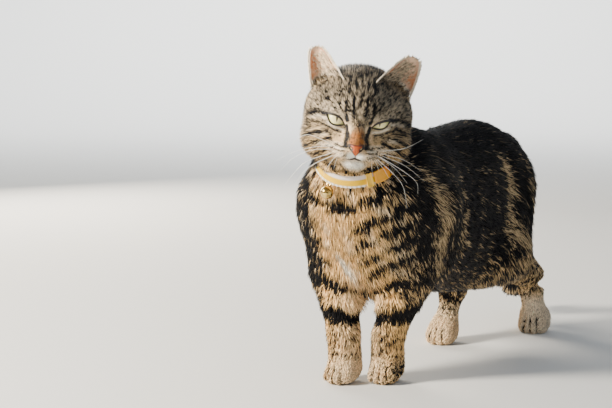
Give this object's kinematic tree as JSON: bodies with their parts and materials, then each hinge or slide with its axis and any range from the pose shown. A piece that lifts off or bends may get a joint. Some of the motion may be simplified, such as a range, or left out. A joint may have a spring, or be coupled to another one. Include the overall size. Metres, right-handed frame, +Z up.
{
  "type": "domestic cat",
  "caption": "Life-size standing domestic cat with a mackerel tabby coat, head turned towards its left, wearing a yellow collar with a bell; a still museum model.",
  "frame": {"origin": "on the floor, under the middle of the whole cat", "axes": "+Z up, the body looks towards -Y, and the cat's left side is +X"},
  "size_m": [0.1544, 0.5024, 0.3126],
  "materials": {
    "coat": "short dense tabby fur, matt with a soft sheen",
    "ear": "thin skin with fine down inside and short fur outside",
    "eye": "wet clear cornea over a pale yellow-green iris",
    "nose_leather": "damp pebbled skin",
    "webbing": "woven nylon webbing with a pale reflective edge",
    "clasp_plastic": "moulded, slightly worn",
    "bell_brass": "polished with fine scratches"
  },
  "bodies": {
    "root": {"head": "coat", "neck": "coat", "chest": "coat", "belly": "coat", "rump": "coat", "shoulder_left": "coat", "foreleg_left": "coat", "forepaw_left": "coat", "thigh_left": "coat", "hindleg_left": "coat", "hindpaw_left": "coat", "shoulder_right": "coat", "foreleg_right": "coat", "forepaw_right": "coat", "thigh_right": "coat", "hindleg_right": "coat", "hindpaw_right": "coat", "tail_base": "coat", "tail_tip": "coat", "ear_left": "ear", "ear_right": "ear", "eye_left": "eye", "eye_right": "eye", "nose": "nose_leather", "collar_strap": "webbing", "collar_clasp": "clasp_plastic", "bell": "bell_brass"}
  },
  "joints": []
}
